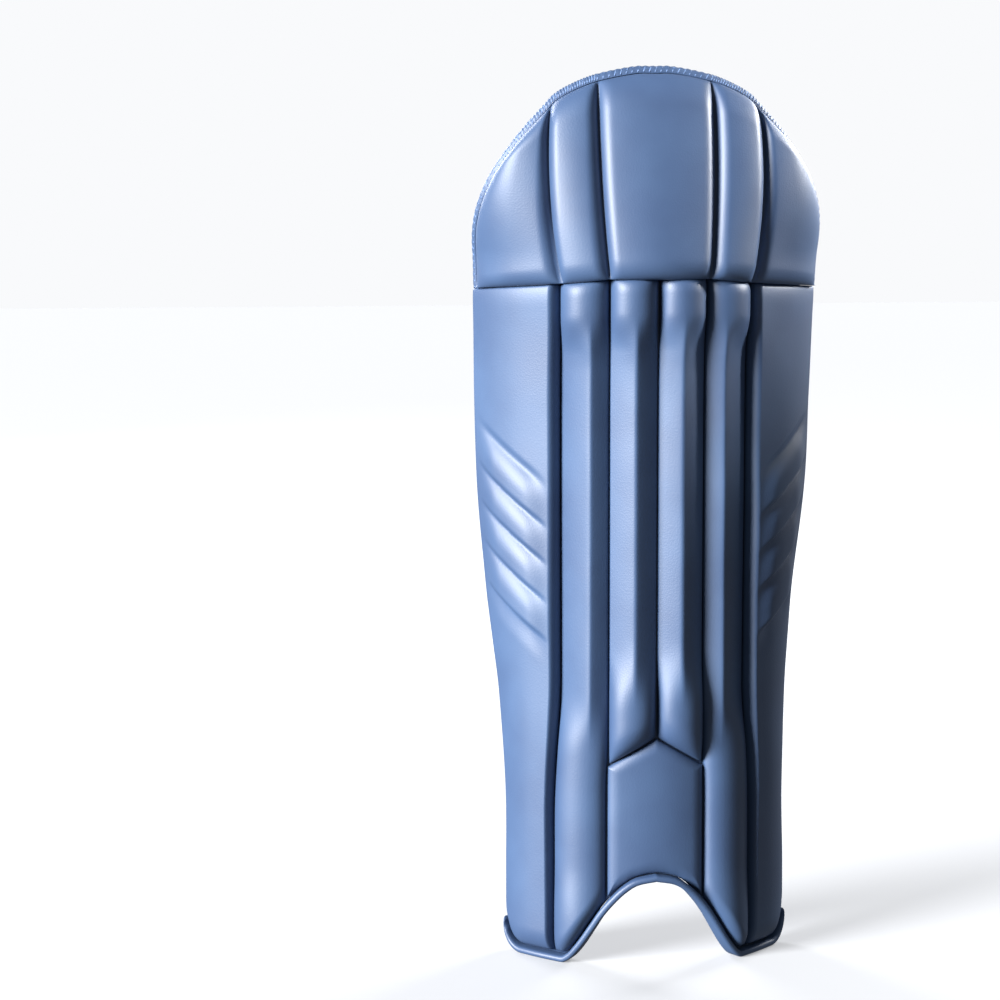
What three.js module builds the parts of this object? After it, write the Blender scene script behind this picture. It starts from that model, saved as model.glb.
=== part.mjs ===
import * as THREE from "three";

// Wicket keeping pad, in millimetres: front faces -Y, +X is right seen from the front, +Z up, feet on z 0
// Main sizes
const PAD_HEIGHT = 610.5;
const SHIN_RADIUS = 105; // front curve of the shin, seen from above
const WING_RADIUS = 300; // flatter curve of the wings
const WING_ARC = 136; // from centre line to rear edge, round the outside
const TOP_LEAN = 28; // how far the top edge lies back
const STANCE = 16.5; // whole pad leans back this much over its height, so that it stands
const SEAM_HEIGHT = 470.5; // cross seam under the dome, at the centre
const SEAM_DROP = 9.5; // by the rear edge
const ROLL_WIDTH = 32;
const OUTER_GROOVE = 66; // arc from centre line to the wing groove
const GROOVE_SPREAD = 5; // more at the hem
const ARCH_HEIGHT = 61;
const ARCH_ARC = 68; // half the arch, along the hem
const HEEL_RISE = 15; // rear corners of the hem
const GAP = 0.4;
const HEM_CLEAR = 2.3; // rolls and wings stop this far above the binding

// Thicknesses, out from the shell's outer face or in from it
const SKIN = 2.5;
const LINING = 2;
const ROLL_RISE = 11;
const WING_RISE = 12;
const WING_EDGE = 5.5;
const RIB_RISE = 4;
const RIB_SLOPE = 0.66;
const PANEL_RISE = 3;
const DOME_RISE = 20;
const DOME_RIM = 7;
const DOME_CHANNEL = 9; // depth left at the channels
const BAND_WIDTH = 5; // top edge band
const HEM_WIDTH = 4.5;
const BOLSTER_RISE = 18;
const SHIN_BOLSTER_ARC = 29;
const BOLSTER_FOOT = 152;
const ANKLE_TOP = 150;
const CUP_LAP = 15.5; // cup lining's lower edge, above the seam at the middle
const CUP_DROP = 40; // and lower by the rear edge
const SHIN_BOLSTER_LAP = 13.5; // above the seam
const CALF_BOLSTER_LAP = 9.5;
const CALF_BOLSTER_DROP = 22; // lower at its outer side

// Instep panel
const PANEL_ARC = 32.5;
const PANEL_APEX = 160;
const PANEL_SHOULDER = 140;
const PANEL_CORNER = 49;

// Straps
const STRAP_HEIGHT = 57;
const STRAP_THICK = 2.4;
const BAND_THICK = 2;
const STRAP_BOW = 30; // out at mid-span
const STRAP_REACH = 5.0; // behind the rear edges
const STRAPS = { upper: 293, lower: 104 }; // lower edge

const table = (names, rows) =>
  Object.fromEntries(names.map((name, i) => [name, rows.map((row) => row[i])]));

// Shell sections, as shares of PAD_HEIGHT, SHIN_RADIUS, WING_RADIUS, WING_ARC twice, TOP_LEAN
const SECTIONS = table(["height", "shin", "wing", "left", "right", "lean"], [
  [0.0, 0.95, 0.73, 0.82, 0.82, 0.0],
  [0.1, 0.95, 0.73, 0.82, 0.82, 0.0],
  [0.19, 0.95, 0.73, 0.82, 0.8, 0.0],
  [0.3, 0.95, 0.8, 0.86, 0.81, 0.0],
  [0.36, 0.96, 0.87, 0.9, 0.83, 0.0],
  [0.42, 0.97, 0.93, 0.94, 0.86, 0.0],
  [0.53, 1.0, 1.0, 0.985, 0.945, 0.0],
  [0.64, 1.0, 1.0, 1.005, 0.985, 0.0],
  [0.747, 1.01, 1.0, 1.01, 1.005, -0.1],
  [0.8, 1.1, 0.87, 1.01, 1.01, -0.04],
  [0.91, 1.9, 0.67, 1.0, 1.0, 0.43],
  [1.0, 2.3, 0.8, 1.0, 1.0, 1.0],
]);

// Lower edge, as shares of ARCH_ARC and ARCH_HEIGHT
const ARCH = table(["along", "height"], [
  [0, 1], [0.18, 0.955], [0.3, 0.86], [0.42, 0.715], [0.52, 0.565],
  [0.62, 0.39], [0.73, 0.205], [0.83, 0.07], [0.9, 0.012], [0.94, 0], [1, 0],
]);

// Dome's outer edge over the top, as shares of the arc at its shoulders and of the dome's height
const DOME_SHOULDER_ARC = 104;
const DOME_SHOULDER = 551;
const DOME_SIDE_BULGE = 10;
const CROWN = table(["along", "height"], [
  [0, 1], [0.12, 0.997], [0.37, 0.91], [0.52, 0.81], [0.64, 0.69],
  [0.71, 0.565], [0.85, 0.31], [1, 0],
]);

// Dome panels between their channels: edges at the seam and at the crown, as shares of half the width
const PANELS = table(["seamFrom", "seamTo", "crownFrom", "crownTo"], [
  [-1, -0.465, -1, -0.68],
  [-0.465, -0.235, -0.68, -0.37],
  [-0.235, 0.235, -0.37, 0.37],
  [0.235, 0.465, 0.37, 0.68],
  [0.465, 1, 0.68, 1],
]);

// Shin rolls: grooves as shares of ROLL_WIDTH, ridge's place across, whether it runs to the hem
const ROLLS = [
  { name: "shin_roll_1", side: -1, outer: true, ridge: -0.4 },
  { name: "shin_roll_2", side: -1, outer: false, ridge: -0.1 },
  { name: "shin_roll_3", side: 1, outer: false, ridge: -0.1 },
  { name: "shin_roll_4", side: 1, outer: true, ridge: -0.4 },
];

// Wing ribs: crest heights at mid-wing
const RIB_CRESTS = { left: [319, 294, 268, 241], right: [324, 299, 273, 243] };
const RIB_MIDDLE = 90;

const clamp = (x, lo = 0, hi = 1) => Math.min(hi, Math.max(lo, x));
const mix = (a, b, t) => a + (b - a) * t;
const ease = (t) => clamp(t) ** 2 * (3 - 2 * clamp(t));
const round = (t) => Math.sqrt(Math.max(0, 1 - t * t));
const cap = (distance, reach) => round(1 - clamp(distance / reach));

// Smooth curve through a table's columns
function curve(rows, from, to, x) {
  const xs = rows[from], ys = rows[to], last = xs.length - 1;
  if (x <= xs[0]) return ys[0];
  if (x >= xs[last]) return ys[last];
  const i = xs.findIndex((v) => v > x) - 1;
  const tilt = (k) => {
    const a = Math.max(0, k - 1), b = Math.min(last, k + 1);
    return (ys[b] - ys[a]) / (xs[b] - xs[a]);
  };
  const w = xs[i + 1] - xs[i], t = (x - xs[i]) / w;
  return mix(ys[i], ys[i + 1], t * t * (3 - 2 * t))
    + w * t * (1 - t) * (tilt(i) * (1 - t) - tilt(i + 1) * t);
}

const sectionAt = (z, column) => curve(SECTIONS, "height", column, z / PAD_HEIGHT);
const edgeArc = (side, z) => WING_ARC * sectionAt(z, side < 0 ? "left" : "right");

// Place on the shell: arc round from the centre line, height, and distance out from the face
function plan(arc, z, out = 0) {
  const shin = SHIN_RADIUS * sectionAt(z, "shin"), wing = WING_RADIUS * sectionAt(z, "wing");
  const a = Math.abs(arc), turn = Math.min(a, OUTER_GROOVE) / shin;
  const angle = turn + Math.max(0, a - OUTER_GROOVE) / wing;
  const x = (shin - wing) * Math.sin(turn) + (wing + out) * Math.sin(angle);
  const y = shin - (shin - wing) * Math.cos(turn) - (wing + out) * Math.cos(angle);
  const back = TOP_LEAN * sectionAt(z, "lean") + STANCE * z / PAD_HEIGHT;
  return new THREE.Vector3(Math.sign(arc) * x, y + back, z);
}

// Hem, seam and groove lines
function hem(arc, z = 20) {
  const a = Math.abs(arc), edge = edgeArc(arc, z);
  const rise = HEEL_RISE * (1 - round(clamp((a - edge + HEEL_RISE) / HEEL_RISE)));
  return ARCH_HEIGHT * Math.max(0, curve(ARCH, "along", "height", a / ARCH_ARC)) + rise;
}
function hemTop(arc) {
  const slope = (hem(Math.abs(arc) + 1) - hem(Math.max(0, Math.abs(arc) - 1))) / 2;
  return hem(arc) + HEM_WIDTH * Math.min(1.9, Math.hypot(1, slope));
}
const seam = (arc) => {
  const a = clamp((Math.abs(arc) - ROLL_WIDTH) / (WING_ARC - ROLL_WIDTH));
  return SEAM_HEIGHT - SEAM_DROP * a ** 0.8;
};
const wingGroove = (z) => OUTER_GROOVE + GROOVE_SPREAD * ease((200 - z) / 100);
const roof = (arc) => mix(PANEL_APEX, PANEL_SHOULDER, Math.abs(arc) / PANEL_ARC);

// Closed solid between two faces over a grid of columns and rows
function slab(cols, rows, front, back) {
  const n = cols.length, m = rows.length, pos = [], index = [];
  for (const face of [front, back])
    for (const b of rows) for (const a of cols) pos.push(...face(a, b).toArray());
  const at = (layer, i, j) => layer * n * m + j * n + i;
  const quad = (p, q, r, s) => index.push(p, q, r, p, r, s);
  for (let j = 0; j < m - 1; j++) for (let i = 0; i < n - 1; i++) {
    quad(at(0, i, j), at(0, i + 1, j), at(0, i + 1, j + 1), at(0, i, j + 1));
    quad(at(1, i, j), at(1, i, j + 1), at(1, i + 1, j + 1), at(1, i + 1, j));
  }
  for (let i = 0; i < n - 1; i++) {
    quad(at(0, i, 0), at(1, i, 0), at(1, i + 1, 0), at(0, i + 1, 0));
    quad(at(0, i, m - 1), at(0, i + 1, m - 1), at(1, i + 1, m - 1), at(1, i, m - 1));
  }
  for (let j = 0; j < m - 1; j++) {
    quad(at(0, 0, j), at(0, 0, j + 1), at(1, 0, j + 1), at(1, 0, j));
    quad(at(0, n - 1, j), at(1, n - 1, j), at(1, n - 1, j + 1), at(0, n - 1, j + 1));
  }
  let volume = 0;
  const p = (k) => new THREE.Vector3(...pos.slice(3 * k, 3 * k + 3));
  for (let k = 0; k < index.length; k += 3)
    volume += p(index[k]).dot(p(index[k + 1]).cross(p(index[k + 2])));
  if (volume < 0) index.reverse();
  const geometry = new THREE.BufferGeometry();
  geometry.setAttribute("position", new THREE.Float32BufferAttribute(pos, 3));
  geometry.setIndex(index);
  geometry.computeVertexNormals();
  return geometry;
}

// Solid over a patch of the shell: locate gives arc and height, outer and inner the two distances out
function patch(cols, rows, locate, outer, inner) {
  const face = (depth) => (a, b) => {
    const [arc, z] = locate(a, b);
    return plan(arc, z, depth(a, b, arc, z));
  };
  return slab(cols, rows, face(outer), face(inner));
}
const steps = (from, to, count) => Array.from({ length: count + 1 }, (_, i) => mix(from, to, i / count));

// Whole-width patch between two height lines
const across = (low, high) => (a, b) => {
  const z0 = low(a * edgeArc(a, 20)), z1 = high(a * edgeArc(a, SEAM_HEIGHT));
  const z = mix(z0, z1, b);
  return [a * edgeArc(a, z), z];
};

const hemEnds = [0.575, 0.62, 0.74, 0.864, 0.92, 0.965, 1];
const hemCols = [...hemEnds.map((a) => -a).reverse(), ...steps(-0.54, 0.54, 14), ...hemEnds];
const skin = patch(hemCols, steps(0, 1, 12),
  across((arc) => hemTop(arc) + GAP, (arc) => seam(arc) - GAP), () => 0, () => -SKIN);

// Rolls
function roll({ side, outer, ridge }) {
  const cols = [-1, -0.93, mix(-1, ridge, 0.5), ridge - 0.1, ridge + 0.1, mix(1, ridge, 0.5), 0.93, 1];
  const rows = [0, 0.012, 0.035, 0.07, 0.11, 0.2, 0.3, 0.42, 0.54, 0.66, 0.78, 0.88, 0.93, 0.965, 0.988, 1];
  const from = (z) => (outer ? mix(PANEL_ARC + 1, ROLL_WIDTH, ease((z - 120) / 40)) : 0) + 0.8;
  const to = (z) => (outer ? wingGroove(z) : ROLL_WIDTH) - 0.8;
  const arcAt = (a, z) => side * mix(from(z), to(z), (a + 1) / 2);
  const low = (arc) => (outer ? hemTop(arc) + HEM_CLEAR : roof(arc) + 1);
  const locate = (a, b) => {
    const z = mix(low(arcAt(a, outer ? 20 : 150)), seam(arcAt(a, SEAM_HEIGHT)) - GAP, b);
    return [arcAt(a, z), z];
  };
  const height = (a, b, arc, z) => {
    const top = seam(arc) - z, foot = z - low(arc);
    const tented = ease((top - 22) / 26) * ease((z - (outer ? 150 : 180)) / 40);
    const tent = 1 - 0.74 * Math.abs(a - ridge) / (a < ridge ? 1 + ridge : 1 - ridge);
    const section = Math.abs(a) > 0.999 ? 0 : mix(round(a), tent, tented);
    const rise = ROLL_RISE * (outer ? 0.94 : 1) * (1 + 0.3 * ease((60 - top) / 40)
      + 0.25 * ease(((outer ? 70 : 230) - z) / 40));
    return GAP + 0.9 + rise * section * cap(top + 0.6, 16) * cap(foot + 0.6, outer ? 14 : 20);
  };
  return patch(cols, rows, locate, height, () => GAP);
}

// Wings, whose rows lie along the ribs where these are
function wing(side) {
  const crests = RIB_CRESTS[side < 0 ? "left" : "right"];
  const cols = [0, 0.03, 0.1, 0.2, 0.36, 0.52, 0.68, 0.82, 0.93, 1];
  const top = (arc) => seam(arc) - GAP, foot = (arc) => hemTop(arc) + HEM_CLEAR;
  // Each rib swells fast, runs on to its crest and drops sharply below it
  const ribRows = crests.flatMap((z) => [[z + 15, 0.6], [z, 1], [z - 5, -0.5]]);
  const ribZone = [crests[0] + 23, crests[3] - 20];
  const plain = (z) => [z, 0];
  const below = (drop) => plain(SEAM_HEIGHT - drop);
  const lines = [plain(SEAM_HEIGHT), below(4.5), below(11.5), below(25.5), below(55.5), below(85.5),
    [ribZone[0], -0.25], ...ribRows, plain(ribZone[1]), plain(200), plain(165), plain(120), plain(80),
    plain(50), plain(30), plain(18), plain(9), plain(0)].reverse();
  const rows = lines.map((_, i) => i);
  const arcAt = (a, z) => side * mix(wingGroove(z) + 0.8, edgeArc(side, z) - 1.5, a);
  const locate = (a, b) => {
    const level = lines[b][0], slanted = ease((level - 190) / 50) * ease((400 - level) / 30);
    const arc0 = arcAt(a, level), z0 = foot(arc0), z1 = top(arc0);
    const line = level + RIB_SLOPE * slanted * (Math.abs(arc0) - RIB_MIDDLE);
    const z = mix(z0, z1, clamp(line / SEAM_HEIGHT)) * (1 - slanted) + line * slanted;
    return [arcAt(a, clamp(z, z0, z1)), clamp(z, z0, z1)];
  };
  const height = (a, b, arc, z) => {
    const body = ease(a / 0.3) ** 0.6 * (1 - (1 - WING_EDGE / WING_RISE) * ease((a - 0.72) / 0.28));
    const rib = RIB_RISE * lines[b][1] * ease((a - 0.01) / 0.14) * ease((0.97 - a) / 0.18);
    const ends = cap(top(arc) - z + 0.8, 18) * cap(z - foot(arc) + 0.8, 16);
    const pad = WING_RISE * body * (1 - 0.12 * ease((150 - z) / 80)) * ends;
    return GAP + 0.9 + Math.max(0, pad + rib);
  };
  return patch(cols, rows, locate, height, () => GAP);
}

// Instep panel
const instep = patch([-1, -0.94, -0.62, -0.31, 0, 0.31, 0.62, 0.94, 1], [0, 0.03, 0.28, 0.52, 0.76, 0.97, 1],
  (a, b) => {
    const arc = a * PANEL_ARC;
    const low = Math.max(mix(ARCH_HEIGHT + HEM_WIDTH + 1, PANEL_CORNER, a * a), hemTop(arc) + 1);
    return [arc, mix(low, roof(arc) - 0.6, b)];
  },
  (a, b) => (Math.abs(a) === 1 || b === 0 || b === 1 ? GAP + PANEL_RISE * 0.5 : GAP + PANEL_RISE),
  () => GAP);

// Dome: columns follow the channels, rows run from the seam to the crown
function domeLocate(inset) {
  return (a, b) => {
    const i = PANELS.seamFrom.findIndex((_, k) => a <= k + 1);
    const t = a - i;
    const seamShare = mix(PANELS.seamFrom[i], PANELS.seamTo[i], t);
    const crownShare = mix(PANELS.crownFrom[i], PANELS.crownTo[i], t);
    const arc0 = seamShare * (WING_ARC - inset), z0 = seam(arc0) + GAP;
    const arc1 = crownShare * (DOME_SHOULDER_ARC - 0.75 * inset);
    const z1 = mix(DOME_SHOULDER, PAD_HEIGHT, curve(CROWN, "along", "height", Math.abs(crownShare)))
      - mix(inset, 0.66 * inset, Math.abs(crownShare) ** 3);
    const bulge = DOME_SIDE_BULGE * Math.abs(seamShare) ** 3 * 4 * b * (1 - b);
    return [mix(arc0, arc1, b) + Math.sign(arc0) * bulge, mix(z0, z1, b)];
  };
}
const domeCols = [0, 1, 2, 3, 4].flatMap((i) => [0, 0.1, 0.28, 0.5, 0.72, 0.9].map((t) => i + t));
domeCols[0] = 0;
domeCols.push(5);
const dome = patch(domeCols, [0, 0.025, 0.07, 0.17, 0.34, 0.52, 0.7, 0.84, 0.93, 0.98, 1],
  domeLocate(BAND_WIDTH + GAP),
  (a, b) => {
    const t = a % 1 || 0;
    const crown = a === 5 ? 0 : round(2 * t - 1) ** 0.8;
    const reach = cap(Math.min(a, 5 - a) * 60 + 1, 30) * cap((1 - b) * 140 + 1, 22);
    const floor = mix(DOME_RIM, DOME_CHANNEL, reach);
    return mix(2, floor + (DOME_RISE - DOME_CHANNEL) * crown * reach, cap(b * 140 + 1.5, 15));
  },
  () => -SKIN);

// Band round the dome's edge: along the two sides and the crown, across its width
const bandCols = [...steps(0, 1, 7).map((t) => [0, t]), ...steps(0, 5, 32).slice(1, -1).map((a) => [a, 1]),
  ...steps(1, 0, 7).map((t) => [5, t])];
const band = slab(bandCols.map((_, k) => k), [0, 0.3, 0.75, 1],
  (k, b) => {
    const [arc, z] = domeLocate(BAND_WIDTH * (1 - b))(...bandCols[k]);
    return plan(arc, z, [DOME_RIM + 0.2, DOME_RIM + 1.2, DOME_RIM, DOME_RIM - 3.4][[0, 0.3, 0.75, 1].indexOf(b)]);
  },
  (k, b) => {
    const [arc, z] = domeLocate(BAND_WIDTH * (1 - b))(...bandCols[k]);
    return plan(arc, z, [-SKIN, -SKIN - 1.2, -SKIN - 0.6, -SKIN + 2][[0, 0.3, 0.75, 1].indexOf(b)]);
  });

// Hem binding
const hemRows = [0, 0.3, 0.7, 1];
const hemPatch = patch(hemCols, hemRows,
  (a, b) => {
    const arc = a * edgeArc(a, 20), z = mix(hem(arc), hemTop(arc), b);
    return [a * edgeArc(a, z), z];
  },
  (a, b) => [5.8, 7.6, 7.6, 6][hemRows.indexOf(b)],
  (a, b) => [-3.6, -5.4, -5.4, -4.6][hemRows.indexOf(b)]);

// Linings
const liningFace = -SKIN - 2 * GAP;
const cupFace = liningFace - GAP;
const cupEdge = (arc) => SEAM_HEIGHT + CUP_LAP - CUP_DROP * ease((Math.abs(arc) - 50) / 90);
const cup = patch(domeCols.filter((_, i) => i % 2 === 0), [0, 0.1, 0.25, 0.42, 0.6, 0.78, 0.92, 1],
  (a, b) => {
    const at = domeLocate(BAND_WIDTH + 2 * GAP);
    const [arc0, z0] = at(a, 0), z = mix(cupEdge(arc0), at(a, 1)[1] - GAP, b);
    return [at(a, clamp((z - z0) / (at(a, 1)[1] - z0)))[0], z];
  },
  () => cupFace,
  (a, b) => {
    const fold = Math.cos(a * 4 * Math.PI) * (1 - Math.abs(a - 2.5) / 2.5) * (1 - b);
    const rolled = b > 0.85 || a < 0.3 || a > 4.7 ? 2 : 0;
    return cupFace - LINING - 1.4 * (1 + fold) - rolled;
  });

function wingLining(side) {
  return patch(steps(0, 1, 6), steps(0, 1, 9),
    (a, b) => {
      const arc0 = mix(ROLL_WIDTH - 2, edgeArc(side, ANKLE_TOP) - 0.6, a);
      const arc1 = mix(ROLL_WIDTH - 2, edgeArc(side, 450) - 0.6, a);
      const z = mix(ANKLE_TOP + GAP, cupEdge(arc1) - 5 * GAP, b);
      return [side * mix(ROLL_WIDTH - 2, edgeArc(side, z) - 0.6, a), z];
    },
    () => liningFace, () => liningFace - LINING);
}
const CREASE = 4 * 0.54 / 7; // share of the arc where the ankle lining is creased
const ankle = patch(hemCols, steps(0, 1, 4),
  (a, b) => {
    const arc0 = a * edgeArc(a, 20), z = mix(hemTop(arc0) + HEM_CLEAR, ANKLE_TOP, b);
    return [a * (edgeArc(a, z) - 0.6), z];
  },
  () => liningFace,
  (a) => liningFace - LINING - 1.4 * ease(Math.abs(Math.abs(a) - CREASE) / 0.1));

// Bolsters
const shinBolster = patch([-1, -0.9, -0.55, 0, 0.55, 0.9, 1], [0, 0.03, 0.08, 0.25, 0.42, 0.6, 0.78, 0.92, 0.97, 1],
  (a, b) => [a * SHIN_BOLSTER_ARC, mix(BOLSTER_FOOT, SEAM_HEIGHT + SHIN_BOLSTER_LAP, b)],
  () => liningFace,
  (a, b) => liningFace - 3 - (BOLSTER_RISE - 3) * round(a) ** 0.7 * cap(Math.min(b, 1 - b) * 338 + 1, 22));
const calfFace = liningFace - LINING - 3 * GAP;
const bolsterEdge = (z) => mix(80, 107, ease((z - 170) / 230));
function calfBolster(side) {
  const top = (a) => SEAM_HEIGHT + CALF_BOLSTER_LAP - CALF_BOLSTER_DROP * a;
  return patch([0, 0.07, 0.25, 0.5, 0.75, 0.93, 1], [0, 0.03, 0.08, 0.25, 0.42, 0.6, 0.78, 0.92, 0.97, 1],
    (a, b) => {
      const z = mix(BOLSTER_FOOT, top(a), b);
      return [side * mix(SHIN_BOLSTER_ARC + 2, bolsterEdge(z), a), z];
    },
    () => calfFace,
    (a, b) => calfFace - 2.5
      - (BOLSTER_RISE - 2.5) * round(2 * a - 1) ** 0.7 * cap(Math.min(b, 1 - b) * 310 + 1, 26));
}

// Straps cross the back from one rear edge to the other: along runs -1 to 1
function strapPlace(along, z, lift) {
  const ends = [-1, 1].map((side) => plan(side * edgeArc(side, z), z, -SKIN));
  const t = (along + 1) / 2;
  return new THREE.Vector3(mix(ends[0].x, ends[1].x, t),
    mix(ends[0].y, ends[1].y, t) + STRAP_REACH + STRAP_BOW * (1 - along * along) + lift, z);
}
const strapSlab = (cols, rows, low, high, lift, thick) => {
  const face = (out) => (a, b) => strapPlace(a, mix(low(a), high(a), b), lift + out * thick / 2);
  return slab(cols, rows, face(1), face(-1));
};
function strap(foot) {
  const top = foot + STRAP_HEIGHT - 2, low = foot + 1, level = mix(low, top, 0.5), tip = mix(low, top, 0.62);
  const notch = (a) => mix(low, level, clamp((0.12 - a) / 0.16));
  const tipEnd = 0.86, tipRoot = 0.68;
  const point = (a, edge) => mix(edge, tip, clamp((a - tipRoot) / (tipEnd - tipRoot)) * 0.93);
  const tab = strapSlab([-1, -0.75, -0.5, -0.25, -0.04, 0.12, 0.3, 0.5, tipRoot, 0.8, tipEnd], [0, 0.5, 1],
    (a) => point(a, notch(a)), (a) => point(a, top), 0, STRAP_THICK);
  const mesh = strapSlab([-1, -0.75, -0.5, -0.25, -0.04, 0.03, 0.1], [0, 1],
    () => low, (a) => notch(a) - GAP, -0.2, STRAP_THICK - 1);
  // Loop band: round the wing's rear edge, then across under the tab
  const route = (z) => {
    const edge = edgeArc(1, z), at = (arc, out) => plan(arc, z, out);
    const corner = strapPlace(1, z, 0);
    return [at(edge + 1.4, WING_EDGE), at(edge + 2.4, 1.5),
      new THREE.Vector3(corner.x + 1.6, corner.y - 3.6, z),
      ...steps(0.95, 0.35, 5).map((u) => strapPlace(u, z, -2.9))];
  };
  const side = (out) => (k, b) => {
    const line = route(mix(foot, foot + STRAP_HEIGHT, b));
    const before = line[Math.max(0, k - 1)], after = line[Math.min(line.length - 1, k + 1)];
    const along = after.clone().sub(before).setZ(0).normalize();
    return line[k].clone().add(new THREE.Vector3(along.y, -along.x, 0).multiplyScalar(out * BAND_THICK / 2));
  };
  const loop = slab(route(foot).map((_, k) => k), [0, 0.5, 1], side(1), side(-1));
  return { tab, mesh, loop };
}

const material = (color, roughness) => new THREE.MeshStandardMaterial({ color, roughness });
const blue = material("#27489a", 0.45), dark = material("#17181c", 0.8), nylon = material("#3b3a63", 0.6);
const gloss = material("#202126", 0.3), meshCloth = material("#57546f", 0.8);

const pad = new THREE.Group();
pad.name = "wicket_keeping_pad";
function add(name, geometry, look) {
  const piece = new THREE.Mesh(geometry, look);
  piece.name = name;
  pad.add(piece);
}
add("knee_dome", dome, blue);
add("top_edge_band", band, blue);
add("shell_skin", skin, blue);
for (const row of ROLLS) add(row.name, roll(row), blue);
for (const side of [-1, 1]) {
  const name = side < 0 ? "left" : "right";
  add(`wing_${name}`, wing(side), blue);
  add(`wing_lining_${name}`, wingLining(side), nylon);
  add(`calf_bolster_${name}`, calfBolster(side), dark);
}
add("instep_panel", instep, blue);
add("hem_binding", hemPatch, blue);
add("knee_cup_lining", cup, dark);
add("ankle_lining", ankle, nylon);
add("shin_bolster", shinBolster, gloss);
for (const [name, foot] of Object.entries(STRAPS)) {
  const { tab, mesh, loop } = strap(foot);
  add(`strap_${name}_band`, loop, dark);
  add(`strap_${name}_tab`, tab, blue);
  add(`strap_${name}_mesh`, mesh, meshCloth);
}

// Centred over the origin, resting on z 0
const box = new THREE.Box3().setFromObject(pad);
const middle = box.getCenter(new THREE.Vector3());
for (const piece of pad.children) piece.geometry.translate(-middle.x, -middle.y, -box.min.z);

export default pad;
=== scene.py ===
"""Wicket keeping pad: padded shell, lining, bolsters and straps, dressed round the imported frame."""
import math

import bmesh
import bpy
from bpy.props import FloatProperty, PointerProperty, StringProperty
from mathutils import Matrix, Vector, noise


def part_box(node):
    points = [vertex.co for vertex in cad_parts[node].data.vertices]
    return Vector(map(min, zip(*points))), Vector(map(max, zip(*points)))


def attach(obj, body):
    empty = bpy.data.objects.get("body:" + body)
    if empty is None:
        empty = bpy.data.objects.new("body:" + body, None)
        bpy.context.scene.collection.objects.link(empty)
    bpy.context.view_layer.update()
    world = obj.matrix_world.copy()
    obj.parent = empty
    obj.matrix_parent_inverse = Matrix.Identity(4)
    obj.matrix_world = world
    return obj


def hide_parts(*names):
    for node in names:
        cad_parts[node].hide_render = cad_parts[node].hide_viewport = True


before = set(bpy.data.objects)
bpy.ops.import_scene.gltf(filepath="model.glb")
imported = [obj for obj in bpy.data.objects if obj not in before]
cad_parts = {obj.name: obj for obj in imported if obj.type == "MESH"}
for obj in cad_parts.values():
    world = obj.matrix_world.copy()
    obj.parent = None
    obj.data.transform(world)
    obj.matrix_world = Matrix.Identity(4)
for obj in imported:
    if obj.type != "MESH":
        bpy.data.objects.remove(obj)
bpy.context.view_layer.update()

bl_info = {
    "name": "Wicket Keeping Pad",
    "version": (1, 0, 0),
    "blender": (4, 5, 0),
    "location": "3D View > Sidebar > Pad",
    "description": "Builds a padded leg guard with its lining, bolsters and straps",
    "category": "Object",
}

MM = 0.001

# Sizes in millimetres, the same as the frame's
PAD_HEIGHT, SHIN_RADIUS, WING_RADIUS, WING_ARC, TOP_LEAN = 610.5, 105.0, 300.0, 136.0, 28.0
STANCE = 16.5
SEAM_HEIGHT, SEAM_DROP, ROLL_WIDTH, OUTER_GROOVE, GROOVE_SPREAD = 470.5, 9.5, 32.0, 66.0, 5.0
ARCH_HEIGHT, ARCH_ARC, HEEL_RISE, HEM_WIDTH = 61.0, 68.0, 15.0, 4.5
SKIN, LINING, GAP, SEAM_GAP, HEM_CLEAR = 2.5, 2.0, 0.4, 0.1, 2.3
WING_EDGE, RIB_SLOPE, RIB_MIDDLE = 5.5, 0.66, 90.0
DOME_RIM, DOME_CHANNEL, BAND_WIDTH = 7.0, 9.0, 5.0
DOME_SHOULDER_ARC, DOME_SHOULDER, DOME_SIDE_BULGE = 104.0, 551.0, 10.0
PANEL_ARC, PANEL_APEX, PANEL_SHOULDER, PANEL_CORNER = 32.5, 160.0, 140.0, 49.0
SHIN_BOLSTER_ARC, BOLSTER_FOOT, ANKLE_TOP = 29.0, 152.0, 150.0
STRAP_HEIGHT, STRAP_THICK, BAND_THICK, STRAP_REACH = 57.0, 2.4, 2.0, 5.0
STRAP_FEET = {"upper": 293.0, "lower": 104.0}
RIB_CRESTS = {-1: (319, 294, 268, 241), 1: (324, 299, 273, 243)}
LINING_FACE = -SKIN - 2 * GAP
# The hem's front, 62.4 mm up at the arch, is 7.6 mm before the shell's own zero
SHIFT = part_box("hem_binding")[0][1] / MM + 7.6 - STANCE * 62.35 / PAD_HEIGHT

# Shell sections: height, shin radius, wing radius, left arc, right arc, lean, as shares
SECTIONS = (
    (0.0, 0.95, 0.73, 0.82, 0.82, 0.0), (0.1, 0.95, 0.73, 0.82, 0.82, 0.0),
    (0.19, 0.95, 0.73, 0.82, 0.8, 0.0), (0.3, 0.95, 0.8, 0.86, 0.81, 0.0),
    (0.36, 0.96, 0.87, 0.9, 0.83, 0.0), (0.42, 0.97, 0.93, 0.94, 0.86, 0.0),
    (0.53, 1.0, 1.0, 0.985, 0.945, 0.0), (0.64, 1.0, 1.0, 1.005, 0.985, 0.0),
    (0.747, 1.01, 1.0, 1.01, 1.005, -0.1), (0.8, 1.1, 0.87, 1.01, 1.01, -0.04),
    (0.91, 1.9, 0.67, 1.0, 1.0, 0.43), (1.0, 2.3, 0.8, 1.0, 1.0, 1.0),
)
SHIN, WING, LEFT, RIGHT, LEAN = 1, 2, 3, 4, 5
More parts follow.
